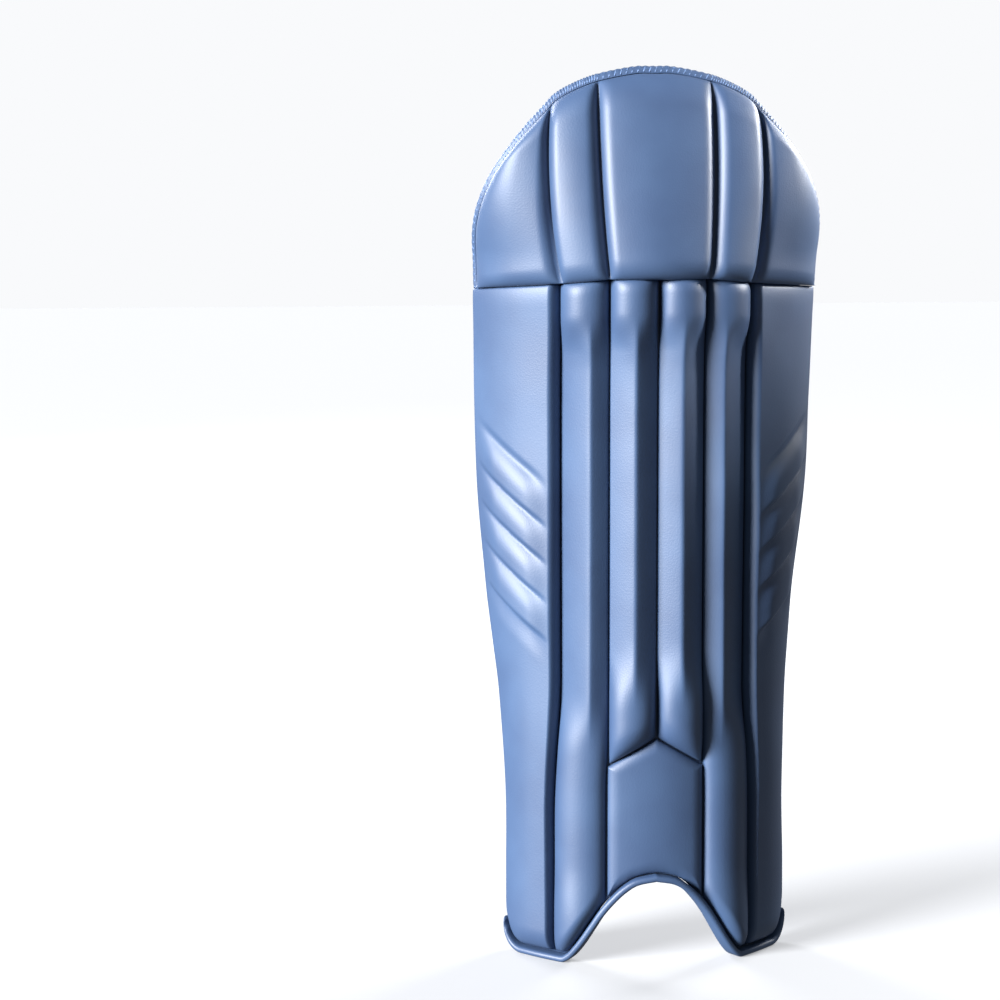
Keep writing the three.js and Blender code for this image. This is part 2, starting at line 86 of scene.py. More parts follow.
ARCH = ((0, 1), (0.18, 0.955), (0.3, 0.86), (0.42, 0.715), (0.52, 0.565), (0.62, 0.39),
        (0.73, 0.205), (0.83, 0.07), (0.9, 0.012), (0.94, 0), (1, 0))
CROWN = ((0, 1), (0.12, 0.997), (0.37, 0.91), (0.52, 0.81), (0.64, 0.69), (0.71, 0.565),
         (0.85, 0.31), (1, 0))
# Dome panels: edges at the seam and at the crown, as shares of half the width
PANELS = ((-1, -0.465, -1, -0.68), (-0.465, -0.235, -0.68, -0.37), (-0.235, 0.235, -0.37, 0.37),
          (0.235, 0.465, 0.37, 0.68), (0.465, 1, 0.68, 1))


def clamp(x, low=0.0, high=1.0):
    return min(high, max(low, x))


def mix(a, b, t):
    return a + (b - a) * t


def ease(t):
    t = clamp(t)
    return t * t * (3 - 2 * t)


def quarter(t):
    return math.sqrt(max(0.0, 1 - t * t))


def cap(distance, reach):
    return quarter(1 - clamp(distance / reach))


def curve(rows, column, x):
    """Smooth curve through a table's column."""
    if x <= rows[0][0]:
        return rows[0][column]
    if x >= rows[-1][0]:
        return rows[-1][column]
    i = next(k for k, row in enumerate(rows) if row[0] > x) - 1

    def tilt(k):
        a, b = rows[max(0, k - 1)], rows[min(len(rows) - 1, k + 1)]
        return (b[column] - a[column]) / (b[0] - a[0])
    w = rows[i + 1][0] - rows[i][0]
    t = (x - rows[i][0]) / w
    return (mix(rows[i][column], rows[i + 1][column], t * t * (3 - 2 * t))
            + w * t * (1 - t) * (tilt(i) * (1 - t) - tilt(i + 1) * t))


SECTION_CACHE = {}


def section(z):
    key = round(z, 2)
    if key not in SECTION_CACHE:
        SECTION_CACHE[key] = [curve(SECTIONS, k, z / PAD_HEIGHT) for k in range(1, 6)]
    return SECTION_CACHE[key]


def edge_arc(side, z):
    return WING_ARC * section(z)[LEFT - 1 if side < 0 else RIGHT - 1]


def place(arc, z, out=0.0):
    """Point of the shell in metres: arc round from the centre line, height, distance out."""
    shin, wing, _, _, lean = section(z)
    shin, wing = SHIN_RADIUS * shin, WING_RADIUS * wing
    turn = min(abs(arc), OUTER_GROOVE) / shin
    angle = turn + max(0.0, abs(arc) - OUTER_GROOVE) / wing
    x = (shin - wing) * math.sin(turn) + (wing + out) * math.sin(angle)
    y = shin - (shin - wing) * math.cos(turn) - (wing + out) * math.cos(angle)
    back = TOP_LEAN * lean + STANCE * z / PAD_HEIGHT
    return Vector((math.copysign(x, arc), y + back + SHIFT, z)) * MM


def hem(arc):
    a, edge = abs(arc), edge_arc(arc, 20)
    rise = HEEL_RISE * (1 - quarter(clamp((a - edge + HEEL_RISE) / HEEL_RISE)))
    return ARCH_HEIGHT * max(0.0, curve(ARCH, 1, a / ARCH_ARC)) + rise


def hem_top(arc):
    slope = (hem(abs(arc) + 1) - hem(max(0.0, abs(arc) - 1))) / 2
    return hem(arc) + HEM_WIDTH * min(1.9, math.hypot(1, slope))


def seam(arc):
    return SEAM_HEIGHT - SEAM_DROP * clamp((abs(arc) - ROLL_WIDTH) / (WING_ARC - ROLL_WIDTH)) ** 0.8


def wing_groove(z):
    return OUTER_GROOVE + GROOVE_SPREAD * ease((200 - z) / 100)


def roof(arc):
    return mix(PANEL_APEX, PANEL_SHOULDER, abs(arc) / PANEL_ARC)


def drift(a, b, scale, seed=0.0):
    """Slow uneven swell, about -1 to 1, for a size in millimetres."""
    return noise.noise(Vector((a / scale, b / scale, seed)))


def steps(*stops):
    """Values from stop to stop: steps(0, 4, 1) gives 0 to 1 in four."""
    values = [stops[0]]
    for count, end in zip(stops[1::2], stops[2::2]):
        start = values[-1]
        values += [mix(start, end, k / count) for k in range(1, count + 1)]
    return values


def finish_piece(name, bm, looks, nodes=(), smooth=True):
    """The bmesh becomes a shown piece that rides on the root and stands for its nodes."""
    mesh = bpy.data.meshes.new(name)
    bm.to_mesh(mesh)
    bm.free()
    for look in looks:
        mesh.materials.append(look)
    if smooth:
        mesh.shade_smooth()
    piece = bpy.data.objects.new(name, mesh)
    bpy.context.collection.objects.link(piece)
    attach(piece, "root")
    if nodes:
        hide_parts(*nodes)
    return piece


def quilt(across, up, outer, inner, cloth=None):
    """Closed padded form: a grid is doubled by an extrusion, then its two faces are shaped.

    outer and inner give the place for a column's and a row's value."""
    bm = bmesh.new()
    n, m = len(across) - 1, len(up) - 1
    bmesh.ops.create_grid(bm, x_segments=n, y_segments=m, size=0.5)
    flat = bm.verts[:]
    made = bmesh.ops.extrude_face_region(bm, geom=bm.faces[:], use_keep_orig=True)
    raised = [g for g in made["geom"] if isinstance(g, bmesh.types.BMVert)]
    uv = bm.loops.layers.uv.new("cloth")
    for verts, shape in ((flat, inner), (raised, outer)):
        for v in verts:
            i, j = round((v.co.x + 0.5) * n), round((v.co.y + 0.5) * m)
            a, b = across[i], up[j]
            v.co = shape(a, b)
            if cloth:
                u, w = cloth(a, b)
            else:
                u, w = v.co.x, v.co.z
            for loop in v.link_loops:
                loop[uv].uv = (u, w)
    bmesh.ops.recalc_face_normals(bm, faces=bm.faces[:])
    return bm


def on_shell(locate, outer, inner):
    """The three functions that quilt takes, for a patch of the shell."""
    def face(depth):
        def at(a, b):
            arc, z = locate(a, b)
            return place(arc, z, depth(a, b, arc, z))
        return at

    def cloth(a, b):
        arc, z = locate(a, b)
        return arc * MM, z * MM
    return face(outer), face(inner), cloth


# ---------------------------------------------------------------- materials
def colour(code):
    """sRGB hex to linear."""
    parts = [int(code[k:k + 2], 16) / 255 for k in (1, 3, 5)]
    return (*[c / 12.92 if c <= 0.04045 else ((c + 0.055) / 1.055) ** 2.4 for c in parts], 1.0)


def add_node(tree, kind, links=(), **settings):
    """A node with its settings, input values as in_NAME, and links as (input, socket)."""
    node = tree.nodes.new(kind)
    for key, value in settings.items():
        if key.startswith("in_"):
            name = key[3:].replace("_", " ")
            node.inputs[int(name) if name.isdigit() else name].default_value = value
        else:
            setattr(node, key, value)
    for target, socket in links:
        tree.links.new(socket, node.inputs[target])
    return node


def new_material(name):
    material = bpy.data.materials.new(name)
    material.use_nodes = True
    material.node_tree.nodes.clear()
    return material, material.node_tree


def ramp(tree, socket, low, high, start=0.0, end=1.0):
    """Colour ramp between two colours."""
    node = add_node(tree, "ShaderNodeValToRGB", [("Fac", socket)])
    node.color_ramp.elements[0].position, node.color_ramp.elements[1].position = start, end
    node.color_ramp.elements[0].color, node.color_ramp.elements[1].color = low, high
    return node.outputs["Color"]


def surface(tree, base, roughness, normal=None, strength=None, **settings):
    """Principled shader and output. base, roughness and glow strength are sockets or values."""
    links = []
    for name, value in (("Base Color", base), ("Roughness", roughness), ("Normal", normal),
                        ("Emission Strength", strength)):
        if isinstance(value, bpy.types.NodeSocket):
            links.append((name, value))
        elif value is not None:
            settings["in_" + name.replace(" ", "_")] = value
    shader = add_node(tree, "ShaderNodeBsdfPrincipled", links, **settings)
    add_node(tree, "ShaderNodeOutputMaterial", [("Surface", shader.outputs[0])])


def coated_leather(name, code, shade_code):
    """Polyurethane-coated microfibre, moulded over foam: satin, with a fine pebble grain."""
    material, tree = new_material(name)
    place_ = add_node(tree, "ShaderNodeTexCoord").outputs["Object"]
    # Pebble 1.1 mm across; cloudy tone over about 60 mm
    pebble = add_node(tree, "ShaderNodeTexVoronoi", [("Vector", place_)], in_Scale=1 / 0.0011)
    cloud = add_node(tree, "ShaderNodeTexNoise", [("Vector", place_)], in_Scale=1 / 0.06, in_Detail=3.0)
    tone = ramp(tree, cloud.outputs["Fac"], colour(shade_code), colour(code), 0.32, 0.66)
    rough = add_node(tree, "ShaderNodeMapRange", [("Value", cloud.outputs["Fac"])],
                     in_To_Min=0.44, in_To_Max=0.56)
    bump = add_node(tree, "ShaderNodeBump", [("Height", pebble.outputs["Distance"])],
                    in_Strength=0.16, in_Distance=0.0003)
    surface(tree, tone, rough.outputs[0], bump.outputs[0],
            in_IOR=1.5, in_Coat_Weight=0.2, in_Coat_Roughness=0.5)
    return material


def flecked_cloth(name, code, fleck_code):
    """Black brushed polyester with printed grey flecks: matte, soft."""
    material, tree = new_material(name)
    place_ = add_node(tree, "ShaderNodeTexCoord").outputs["UV"]
    # Soft flecks about 3 mm across, thicker in some places than in others; nap 0.8 mm
    shift = add_node(tree, "ShaderNodeTexNoise", [("Vector", place_)], in_Scale=1 / 0.003, in_Detail=2.0)
    moved = add_node(tree, "ShaderNodeVectorMath", [(0, shift.outputs["Color"]), (2, place_)],
                     operation="MULTIPLY_ADD", in_1=(0.005, 0.005, 0.005))
    cell = add_node(tree, "ShaderNodeTexVoronoi", [("Vector", moved.outputs[0])], in_Scale=1 / 0.0036)
    dot = add_node(tree, "ShaderNodeMapRange", [("Value", cell.outputs["Distance"])],
                   in_From_Min=0.0, in_From_Max=0.75, in_To_Min=1.0, in_To_Max=0.0)
    fleck = add_node(tree, "ShaderNodeMath", [(0, dot.outputs[0]), (1, cell.outputs["Color"])],
                     operation="MULTIPLY")
    patchy = add_node(tree, "ShaderNodeTexNoise", [("Vector", place_)], in_Scale=1 / 0.04, in_Detail=3.0)
    share = add_node(tree, "ShaderNodeMapRange", [("Value", patchy.outputs["Fac"])],
                     in_From_Min=0.3, in_From_Max=0.7, in_To_Min=-0.12, in_To_Max=0.16)
    lit = add_node(tree, "ShaderNodeMath", [(0, fleck.outputs[0]), (1, share.outputs[0])],
                   operation="ADD")
    tone = ramp(tree, lit.outputs[0], colour(code), colour(fleck_code), 0.05, 0.85)
    nap = add_node(tree, "ShaderNodeTexNoise", [("Vector", place_)], in_Scale=1 / 0.0008, in_Detail=3.0)
    bump = add_node(tree, "ShaderNodeBump", [("Height", nap.outputs["Fac"])],
                    in_Strength=0.35, in_Distance=0.0005)
    surface(tree, tone, 0.82, bump.outputs[0], in_Sheen_Weight=0.25, in_Sheen_Roughness=0.5)
    return material


def woven_nylon(name, code, shade_code):
    """Plain-woven nylon lining: smooth, with a low sheen."""
    material, tree = new_material(name)
    place_ = add_node(tree, "ShaderNodeTexCoord").outputs["UV"]
    # Threads 0.9 mm apart, coarser than real ones so that they show
    warp = add_node(tree, "ShaderNodeTexWave", [("Vector", place_)], bands_direction="X", in_Scale=350.0)
    weft = add_node(tree, "ShaderNodeTexWave", [("Vector", place_)], bands_direction="Y", in_Scale=350.0)
    weave = add_node(tree, "ShaderNodeMath", [(0, warp.outputs["Fac"]), (1, weft.outputs["Fac"])],
                     operation="MULTIPLY")
    cloud = add_node(tree, "ShaderNodeTexNoise", [("Vector", place_)], in_Scale=1 / 0.04, in_Detail=3.0)
    tone = ramp(tree, cloud.outputs["Fac"], colour(shade_code), colour(code), 0.35, 0.65)
    bump = add_node(tree, "ShaderNodeBump", [("Height", weave.outputs[0])],
                    in_Strength=0.25, in_Distance=0.0003)
    surface(tree, tone, 0.48, bump.outputs[0], in_Sheen_Weight=0.3, in_Sheen_Roughness=0.4)
    return material


def spacer_mesh(name, code, thread_code, cell):
    """Knitted polyester spacer mesh in a herringbone of open cells."""
    material, tree = new_material(name)
    place_ = add_node(tree, "ShaderNodeTexCoord").outputs["UV"]
    split = add_node(tree, "ShaderNodeSeparateXYZ", [("Vector", place_)])
    fold = add_node(tree, "ShaderNodeMath", [(0, split.outputs["X"])], operation="PINGPONG", in_1=cell * 2)
    slant = add_node(tree, "ShaderNodeMath", [(0, fold.outputs[0]), (1, split.outputs["Y"])], operation="ADD")
    rows = add_node(tree, "ShaderNodeMath", [(0, slant.outputs[0])], operation="MULTIPLY",
                    in_1=2 * math.pi / cell)
    bars = add_node(tree, "ShaderNodeMath", [(0, rows.outputs[0])], operation="SINE")
    stems = add_node(tree, "ShaderNodeMath", [(0, split.outputs["X"])], operation="MULTIPLY",
                     in_1=2 * math.pi / cell)
    stem = add_node(tree, "ShaderNodeMath", [(0, stems.outputs[0])], operation="SINE")
    knit = add_node(tree, "ShaderNodeMath", [(0, bars.outputs[0]), (1, stem.outputs[0])], operation="MULTIPLY")
    level = add_node(tree, "ShaderNodeMapRange", [("Value", knit.outputs[0])], in_From_Min=-0.5, in_From_Max=0.9)
    tone = ramp(tree, level.outputs[0], colour(code), colour(thread_code), 0.3, 0.9)
    bump = add_node(tree, "ShaderNodeBump", [("Height", level.outputs[0])],
                    in_Strength=0.8, in_Distance=0.0012)
    surface(tree, tone, 0.7, bump.outputs[0], in_Sheen_Weight=0.2, in_Sheen_Roughness=0.5)
    return material


def crackled_gloss(name, code, fleck_code):
    """Glossy coated cloth with a fine crackle and grey flecks."""
    material, tree = new_material(name)
    place_ = add_node(tree, "ShaderNodeTexCoord").outputs["UV"]
    # Crackle cells 5 mm across
    cells = add_node(tree, "ShaderNodeTexVoronoi", [("Vector", place_)], feature="DISTANCE_TO_EDGE",
                     in_Scale=1 / 0.005)
    fleck = add_node(tree, "ShaderNodeTexNoise", [("Vector", place_)], in_Scale=1 / 0.004, in_Detail=4.0)
    tone = ramp(tree, fleck.outputs["Fac"], colour(code), colour(fleck_code), 0.5, 0.72)
    bump = add_node(tree, "ShaderNodeBump", [("Height", cells.outputs["Distance"])],
                    in_Strength=0.4, in_Distance=0.0006)
    surface(tree, tone, 0.36, bump.outputs[0], in_IOR=1.5, in_Coat_Weight=0.2, in_Coat_Roughness=0.25)
    return material


def loop_cloth(name, code, pale_code):
    """Brushed loop tape: matte, with a fuzzy nap."""
    material, tree = new_material(name)
    place_ = add_node(tree, "ShaderNodeTexCoord").outputs["Object"]
    # Loops 1.2 mm apart
    nap = add_node(tree, "ShaderNodeTexNoise", [("Vector", place_)], in_Scale=1 / 0.0012, in_Detail=4.0)
    tone = ramp(tree, nap.outputs["Fac"], colour(code), colour(pale_code), 0.4, 0.8)
    bump = add_node(tree, "ShaderNodeBump", [("Height", nap.outputs["Fac"])],
                    in_Strength=0.6, in_Distance=0.0008)
    surface(tree, tone, 0.9, bump.outputs[0], in_Sheen_Weight=0.1, in_Sheen_Roughness=0.6)
    return material


def twisted_thread(name, code):
    """Polyester sewing thread, twisted."""
    material, tree = new_material(name)
    place_ = add_node(tree, "ShaderNodeTexCoord").outputs["Object"]
    twist = add_node(tree, "ShaderNodeTexWave", [("Vector", place_)], bands_direction="DIAGONAL", in_Scale=600.0)
    bump = add_node(tree, "ShaderNodeBump", [("Height", twist.outputs["Fac"])],
                    in_Strength=0.4, in_Distance=0.0002)
    surface(tree, colour(code), 0.6, bump.outputs[0])
    return material


def edged_leather(name, code, shade_code, line_code):
    """Coated leather strap end with a silver line 1.7 mm wide along its edge and a pressed line inside it."""
    material, tree = new_material(name)
    place_ = add_node(tree, "ShaderNodeTexCoord").outputs["Object"]
    pebble = add_node(tree, "ShaderNodeTexVoronoi", [("Vector", place_)], in_Scale=1 / 0.0011)
    cloud = add_node(tree, "ShaderNodeTexNoise", [("Vector", place_)], in_Scale=1 / 0.05, in_Detail=3.0)
    tone = ramp(tree, cloud.outputs["Fac"], colour(shade_code), colour(code), 0.32, 0.66)
    rim = add_node(tree, "ShaderNodeAttribute", attribute_name="rim").outputs["Fac"]
    cross = add_node(tree, "ShaderNodeAttribute", attribute_name="cross").outputs["Fac"]
    line = add_node(tree, "ShaderNodeMapRange", [("Value", rim)], in_From_Min=1.3, in_From_Max=1.7,
                    in_To_Min=1.0, in_To_Max=0.0)
    # Pressed lines: 0.7 mm wide, 5 mm inside the edge and at the cross seam
    inside = add_node(tree, "ShaderNodeMath", [(0, rim)], operation="SUBTRACT", in_1=5.5)
    apart = add_node(tree, "ShaderNodeMath", [(0, inside.outputs[0])], operation="ABSOLUTE")
    either = add_node(tree, "ShaderNodeMath", [(0, apart.outputs[0]), (1, cross)], operation="MINIMUM")
    pressed = add_node(tree, "ShaderNodeMapRange", [("Value", either.outputs[0])],
                       in_From_Min=0.35, in_From_Max=0.9, in_To_Min=0.0, in_To_Max=1.0)
    edged = add_node(tree, "ShaderNodeMix", [("Factor", line.outputs[0]), (6, tone)],
                     data_type="RGBA", in_7=colour(line_code))
    grain = add_node(tree, "ShaderNodeMath", [(0, pebble.outputs["Distance"])], operation="MULTIPLY", in_1=0.15)
    relief = add_node(tree, "ShaderNodeMath", [(0, grain.outputs[0]), (1, pressed.outputs[0])], operation="ADD")
    bump = add_node(tree, "ShaderNodeBump", [("Height", relief.outputs[0])],
                    in_Strength=0.7, in_Distance=0.0005)
    surface(tree, edged.outputs[2], 0.38, bump.outputs[0],
            in_IOR=1.48, in_Coat_Weight=0.12, in_Coat_Roughness=0.35)
    return material


LOOKS = {}


def prepare_looks(tints):
    hexes = {
        "shell": coated_leather("moulded_coated_leather", tints.shell, tints.shell_shade),
        "fleck": flecked_cloth("flecked_polyester", "#161619", "#60626b"),
        "nylon": woven_nylon("woven_nylon", tints.nylon, "#2a2944"),
        "mesh": spacer_mesh("knitted_spacer_mesh", "#08080a", "#3a3b40", 0.0034),
        "gloss": crackled_gloss("crackled_gloss", "#111216", "#41464f"),
        "loop": loop_cloth("brushed_loop_tape", "#0a0a0c", "#1d1e21"),
        "inset": spacer_mesh("strap_mesh", "#1a1828", "#6d6a88", 0.0022),
        "tab": edged_leather("edged_coated_leather", tints.shell, tints.shell_shade, "#b9c1cf"),
        "thread": twisted_thread("white_thread", "#dfe2e6"),
        "shell_thread": twisted_thread("blue_thread", "#6c88b4"),
    }
    LOOKS.update(hexes)


# ---------------------------------------------------------------- shapes
def dome_locate(inset):
    def at(a, b):
        i = min(4, int(a))
        t = a - i
        seam_from, seam_to, crown_from, crown_to = PANELS[i]
        seam_share, crown_share = mix(seam_from, seam_to, t), mix(crown_from, crown_to, t)
        arc0 = seam_share * (WING_ARC - inset)
        z0 = seam(arc0) + SEAM_GAP
        arc1 = crown_share * (DOME_SHOULDER_ARC - 0.75 * inset)
        z1 = (mix(DOME_SHOULDER, PAD_HEIGHT, curve(CROWN, 1, abs(crown_share)))
              - mix(inset, 0.66 * inset, abs(crown_share) ** 3))
        bulge = DOME_SIDE_BULGE * abs(seam_share) * 4 * b * (1 - b)
        return mix(arc0, arc1, b) + math.copysign(bulge, arc0), mix(z0, z1, b)
    return at


def make_dome(sizes):
    locate = dome_locate(BAND_WIDTH + GAP)

    def outer(a, b, arc, z):
        t = a - min(4, int(a))
        near = min(t, 1 - t) * (68, 33, 66, 33, 68)[min(4, int(a))]
        panel = 0.7 * cap(near + 0.1, 8) + 0.3 * quarter(2 * t - 1)
        reach = cap(min(a, 5 - a) * 66 + 1, 42) * cap((1 - b) * 140 + 1, 22)
        floor = mix(DOME_RIM, DOME_CHANNEL - 1.5, reach)
        height = floor + (sizes.dome_rise / MM - floor) * panel * reach
        swell = 0.7 * drift(arc, z, 45, 1) * panel
        return mix(11.5, height + swell, cap(b * 140 + 0.3, 15))
    shape = on_shell(locate, outer, lambda *_: -SKIN)
    bm = quilt(steps(0, 40, 1, 28, 2, 44, 3, 28, 4, 40, 5), steps(0, 16, 0.1, 34, 0.85, 16, 1), *shape)
    finish_piece("dome", bm, [LOOKS["shell"]], ["knee_dome"])


def make_roll(name, side, outer_roll, ridge, sizes):
    def inner_edge(z):
        return (mix(PANEL_ARC + 1, ROLL_WIDTH, ease((z - 120) / 40)) if outer_roll else 0) + 0.5

    def outer_edge(z):
        return (wing_groove(z) if outer_roll else ROLL_WIDTH) - 0.5

    def arc_at(a, z):
        return side * mix(inner_edge(z), outer_edge(z), (a + 1) / 2)

    def low(arc):
        return hem_top(arc) + HEM_CLEAR if outer_roll else roof(arc) + 1

    def locate(a, b):
        foot = low(arc_at(a, 20 if outer_roll else 150))
        z = mix(foot, seam(arc_at(a, SEAM_HEIGHT)) - SEAM_GAP, b)
        return arc_at(a, z), z

    def outer(a, b, arc, z):
        top, foot = seam(arc) - z, z - low(arc)
        tented = ease((top - 22) / 26) * ease((z - (150 if outer_roll else 180)) / 40)
        span = 1 + ridge if a < ridge else 1 - ridge
        blunt = 0.05
        slope = math.hypot(a - ridge, blunt) - blunt
        tent = (1 - 0.92 * slope / span) * cap(1 - abs(a) + 0.002, 0.05)
        shape = mix(quarter(a), tent, tented)
        rise = sizes.roll_rise / MM * (0.94 if outer_roll else 1) * (
            1 + 0.3 * ease((60 - top) / 40) + 0.25 * ease(((70 if outer_roll else 230) - z) / 40))
        swell = 0.35 * drift(arc, z, 30, side * 2 + 5) * shape
        ends = mix(0.72, 1, cap(top + 0.4, 9)) * cap(foot + 0.6, 14 if outer_roll else 20)
        return GAP + 0.6 + rise * shape * ends + swell * ends
    across = steps(-1, 4, -0.93, 12, ridge, 12, 0.93, 4, 1)
    bm = quilt(across, steps(0, 14, 0.05, 70, 0.85, 40, 1), *on_shell(locate, outer, lambda *_: GAP))
    finish_piece(name + "_moulded", bm, [LOOKS["shell"]], [name])


def rib_wave(line, crests):
    """Relief of the ribs: each rises from a crease, runs on to its crest and drops below it."""
    drop = 3.2
    tops = [crests[0] + 23] + [crest - drop for crest in crests[:-1]]
    for top, crest in zip(tops, crests):
        if crest <= line <= top:
            return -0.45 + 1.45 * (1 - (1 - clamp((top - line) / 17)) ** 2)
        if crest - drop <= line < crest:
            return mix(-0.45, 1.0, quarter((crest - line) / drop))
    if line > tops[0]:
        return -0.45 * quarter(clamp((line - tops[0]) / 5))
    return -0.45 * ease((line - crests[-1] + 22) / 17)


def make_wing(side, sizes):
    def arc_at(a, z):
        return side * mix(wing_groove(z) + 0.5, edge_arc(side, z) - 1.2, a)

    def locate(a, b):
        foot, top = hem_top(arc_at(a, 20)) + HEM_CLEAR, seam(arc_at(a, SEAM_HEIGHT)) - SEAM_GAP
        z = mix(foot, top, b)
        return arc_at(a, z), z

    def outer(a, b, arc, z):
        # a steep rounded side at the groove, then one slow curve to the thin rear edge
        body = cap(a * 66 + 0.1, 4.5) * (1 - (1 - WING_EDGE / 12) * a ** 3) * (0.94 + 0.06 * ease(a / 0.5))
        line = z - RIB_SLOPE * (abs(arc) - RIB_MIDDLE)
        rib = (sizes.rib_rise / MM * rib_wave(line, RIB_CRESTS[side])
               * ease((a - 0.03) / 0.3) * ease((0.98 - a) / 0.3))
        foot = hem_top(arc) + HEM_CLEAR
        ends = mix(0.84, 1, cap(seam(arc) - GAP - z + 0.4, 14)) * cap(z - foot + 0.8, 16)
        pad = sizes.wing_rise / MM * body * (1 - 0.12 * ease((150 - z) / 80)) * ends
        swell = 0.8 * drift(arc, z, 55, side + 9) * body * ends
        return GAP + 0.7 + max(0.0, pad + rib + swell)
    bm = quilt(steps(0, 14, 0.15, 34, 0.9, 10, 1), steps(0, 14, 0.05, 220, 0.95, 14, 1),
               *on_shell(locate, outer, lambda *_: GAP))
    word = "left" if side < 0 else "right"
    finish_piece(f"wing_{word}_moulded", bm, [LOOKS["shell"]], [f"wing_{word}"])


def across_shell(low, high):
    def at(a, b):
        z0, z1 = low(a * edge_arc(a, 20)), high(a * edge_arc(a, SEAM_HEIGHT))
        z = mix(z0, z1, b)
        return a * edge_arc(a, z), z
    return at


def make_skin():
    locate = across_shell(lambda arc: hem_top(arc) + GAP, lambda arc: seam(arc) - GAP)
    bm = quilt(steps(-1, 110, 1), steps(0, 120, 1), *on_shell(locate, lambda *_: 0.0, lambda *_: -SKIN))
    skin = finish_piece("base_skin", bm, [LOOKS["shell"]], ["shell_skin"])


def make_instep():
    def locate(a, b):
        arc = a * PANEL_ARC
        low = max(mix(ARCH_HEIGHT + HEM_WIDTH + 1, PANEL_CORNER, a * a), hem_top(arc) + 1)
        return arc, mix(low, roof(arc) - 0.6, b)

    def outer(a, b, arc, z):
        edge = min((1 - abs(a)) * PANEL_ARC, b * 85, (1 - b) * 85)
        return GAP + 0.6 + 4.2 * cap(edge + 0.15, 9) + 0.3 * drift(arc, z, 30, 4)
    bm = quilt(steps(-1, 14, -0.85, 40, 0.85, 14, 1), steps(0, 16, 0.08, 60, 0.92, 16, 1),
               *on_shell(locate, outer, lambda *_: GAP))
    finish_piece("instep_plate", bm, [LOOKS["shell"]], ["instep_panel"])


def make_hem():
    """Rounded piping: a circle's worth of rows from the outer face over the edge to the inner."""
    def locate(a, b):
        arc = a * edge_arc(a, 20)
        z = mix(hem(arc), hem_top(arc), b)
        return a * edge_arc(a, z), z

    def outer(a, b, arc, z):
        return 5.6 + 2 * quarter(2 * b - 1)

    def inner(a, b, arc, z):
        return -3.6 - 1.8 * quarter(2 * b - 1)
    bm = quilt(steps(-1, 40, -0.864, 240, 0.864, 40, 1), steps(0, 12, 1), *on_shell(locate, outer, inner))
    finish_piece("hem_piping", bm, [LOOKS["shell"]], ["hem_binding"])


def rim_path(count):
    """Stations round the dome's edge: left side up, over the crown, right side down."""
    sides = [k / count for k in range(count)]
    return ([(0.0, t) for t in sides] + [(a, 1.0) for a in steps(0, 5 * count, 5)]
            + [(5.0, t) for t in reversed(sides)])


def make_top_band():
    path = rim_path(60)

    def face(outside):
        def at(k, b):
            arc, z = dome_locate(BAND_WIDTH * (1 - b))(*path[int(k)])
            notch = 0.5 * (0.5 + 0.5 * math.sin(k * 1.7)) * b
            curl = quarter(clamp(2 * b - 1))
            out = mix(DOME_RIM - 3.6, DOME_RIM + 1, curl) - notch if outside else mix(-SKIN + 2.2, -SKIN - 1.1, curl)
            return place(arc, z - notch, out)
        return at
    bm = quilt([float(k) for k in range(len(path))], steps(0, 10, 1), face(True), face(False))
    finish_piece("overlocked_edge", bm, [LOOKS["shell"]], ["top_edge_band"])


def cup_edge(arc):
    return mix(486, 446, ease((abs(arc) - 50) / 90))


def cup_depth(arc, z):
    """Thickness of the knee cup's lining, with gathers that fan out from the middle of its lower edge."""
    angle, far = math.atan2(arc, z - 440), math.hypot(arc, z - 440)
    fan = (math.cos(angle * 17 + 0.9 * math.sin(far / 23)) * ease((70 - abs(arc)) / 60)
           * ease((118 - far) / 60) * ease((far - 44) / 16))
    return LINING + 2.0 + 2.4 * fan + 1.2 * drift(arc, z, 26, 7)


def make_cup_lining():
    # It laps over the back of the overlocked edge
    at_rim = dome_locate(2.0)
    face_out = LINING_FACE - GAP

    def locate(a, b):
        arc0, z0 = at_rim(a, 0)
        z1 = at_rim(a, 1)[1]
        z = mix(cup_edge(arc0), z1 - GAP, b)
        return at_rim(a, clamp((z - z0) / (z1 - z0)))[0], z

    def inner(a, b, arc, z):
        rim = min(a * 45, (5 - a) * 45, (1 - b) * 130)
        rolled = 2.6 * quarter(clamp(abs(rim - 5) / 5)) if rim < 10 else 0.0
        foot = 1.2 * quarter(clamp(b * 120 / 4 - 1)) if b * 120 < 8 else 0.0
        return face_out - cup_depth(arc, z) - rolled - foot
    bm = quilt(steps(0, 14, 0.25, 130, 4.75, 14, 5), steps(0, 14, 0.08, 70, 0.88, 20, 1),
               *on_shell(locate, lambda *_: face_out, inner))
    finish_piece("cup_lining", bm, [LOOKS["fleck"]], ["knee_cup_lining"])


def make_wing_lining(side):
    def locate(a, b):
        arc1 = mix(ROLL_WIDTH - 2, edge_arc(side, 450) - 0.6, a)
        z = mix(ANKLE_TOP + GAP, cup_edge(arc1) - 5 * GAP, b)
        return side * mix(ROLL_WIDTH - 2, edge_arc(side, z) - 0.6, a), z

    def inner(a, b, arc, z):
        crease = 0.8 * drift(arc * 0.6, z, 18, side + 12) * ease((a - 0.4) / 0.2)
        rim = 0.8 * math.exp(-((1 - a) * 100 - 3) ** 2 / 5)
        return LINING_FACE - LINING - 0.2 - max(-0.2, crease) - rim
    bm = quilt(steps(0, 12, 0.5, 40, 1), steps(0, 150, 1), *on_shell(locate, lambda *_: LINING_FACE, inner))
    word = "left" if side < 0 else "right"
    lining = finish_piece(f"side_lining_{word}", bm, [LOOKS["nylon"]], [f"wing_lining_{word}"])


